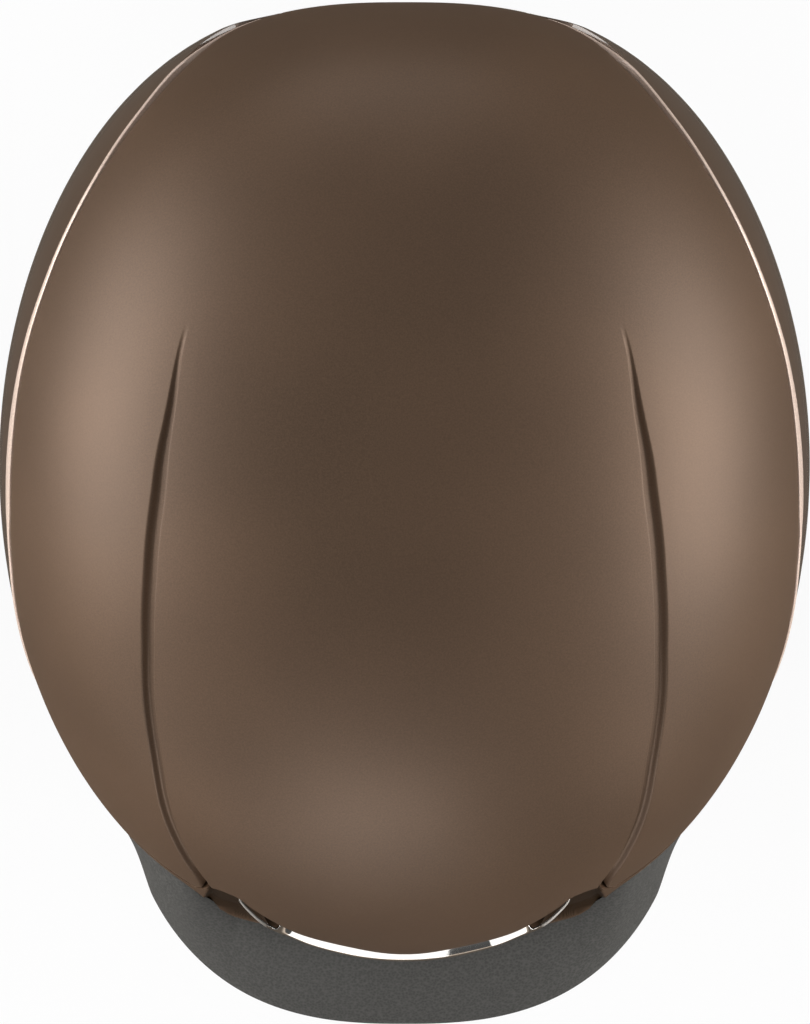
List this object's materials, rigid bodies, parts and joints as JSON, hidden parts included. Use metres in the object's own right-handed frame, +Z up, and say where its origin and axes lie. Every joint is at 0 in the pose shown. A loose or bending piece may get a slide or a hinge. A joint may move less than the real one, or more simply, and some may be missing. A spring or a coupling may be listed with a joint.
{
  "type": "riding helmet",
  "caption": "Riding helmet with a two-crease matte crown, glossy side covers, bright vent trim, short peak, padded liner, rear size dial and buckled chin harness.",
  "frame": {"origin": "middle of the head opening, in the plane of the rim", "axes": "+Z up through the crown, the peak points to -Y, +X is the side of the wearer's left"},
  "size_m": [0.2218, 0.2817, 0.281],
  "materials": {
    "matte_shell": "soft-touch matte lacquer, mocha brown",
    "gloss_shell": "clear-coated gloss lacquer, mocha brown",
    "accent": "satin pale rose strip",
    "chrome_trim": "polished",
    "dark_mesh": "matte black grille",
    "peak": "fine-grained soft-touch grey-black",
    "felt": "flocked lining",
    "edging": "soft black edging",
    "foam": "expanded bead foam",
    "pad": "quilted mesh fabric over soft foam",
    "webbing": "woven webbing",
    "hard_black": "satin moulded nylon",
    "steel": "zinc plated",
    "pinion": "natural acetal",
    "dial": "soft ribbed grip",
    "tab": "red release tab"
  },
  "bodies": {
    "helmet": {"crown_shell": "matte_shell", "side_shell_left": "gloss_shell", "side_shell_right": "gloss_shell", "accent_strip_left": "accent", "accent_strip_right": "accent", "brow_shell": "matte_shell", "rear_shell": "matte_shell", "front_trim": "chrome_trim", "front_vent_grille": "dark_mesh", "rear_vent_grille": "dark_mesh", "visor": "peak", "visor_lining": "felt", "edge_trim": "edging", "impact_liner": "foam", "crown_pad": "pad", "forehead_pad": "pad", "side_pad_left": "pad", "side_pad_right": "pad", "anchor_plugs": "hard_black", "anchor_washers": "steel", "anchor_screws": "steel", "front_strap_left": "webbing", "front_strap_right": "webbing", "rear_strap_left": "webbing", "rear_strap_right": "webbing", "strap_divider_left": "hard_black", "strap_divider_right": "hard_black", "chin_strap_left": "webbing", "buckle_body": "hard_black", "lever_pin": "steel", "lever_spring": "steel", "chin_pad": "pad", "cradle_pins": "steel"},
    "cradle": {"cradle_frame": "hard_black", "housing_cover": "hard_black", "cradle_pad": "pad"},
    "dial": {"adjuster_dial": "dial", "dial_pinion": "pinion"},
    "band_left": {"band_left": "hard_black"},
    "band_right": {"band_right": "hard_black"},
    "lever": {"buckle_lever": "hard_black", "release_tab": "tab"},
    "tongue": {"buckle_tongue": "hard_black", "chin_strap_right": "webbing"}
  },
  "joints": [
    {"name": "cradle_tilt", "type": "hinge", "parent": "helmet", "child": "cradle", "pos_m": [0, -0.03, 0.01], "axis": [1, 0, 0], "range_deg": [-7, 3]},
    {"name": "dial_turn", "type": "hinge", "parent": "cradle", "child": "dial", "pos_m": [0, 0.112, -0.022], "axis": [0, 1, 0], "range_deg": [-170, 170]},
    {"name": "band_left_slide", "type": "hinge", "parent": "cradle", "child": "band_left", "pos_m": [0, 0.012, -0.022], "axis": [0, 0, 1], "range_deg": [-9, 9]},
    {"name": "band_right_slide", "type": "hinge", "parent": "cradle", "child": "band_right", "pos_m": [0, 0.012, -0.022], "axis": [0, 0, 1], "range_deg": [-9, 9]},
    {"name": "lever_release", "type": "hinge", "parent": "helmet", "child": "lever", "pos_m": [0.024, -0.047, -0.1204], "axis": [0, -1, 0], "range_deg": [0, 38], "stiffness_Nm_per_rad": 0.02, "springref_deg": -8.59},
    {"name": "tongue_slide", "type": "slide", "parent": "helmet", "child": "tongue", "axis": [-1, 0, 0], "range_m": [0, 0.03], "deforming": ["chin_strap_right"]}
  ],
  "couplings": [
    {"joint": "band_left_slide", "follows": "dial_turn", "ratio": -0.0525},
    {"joint": "band_right_slide", "follows": "dial_turn", "ratio": 0.0525}
  ]
}
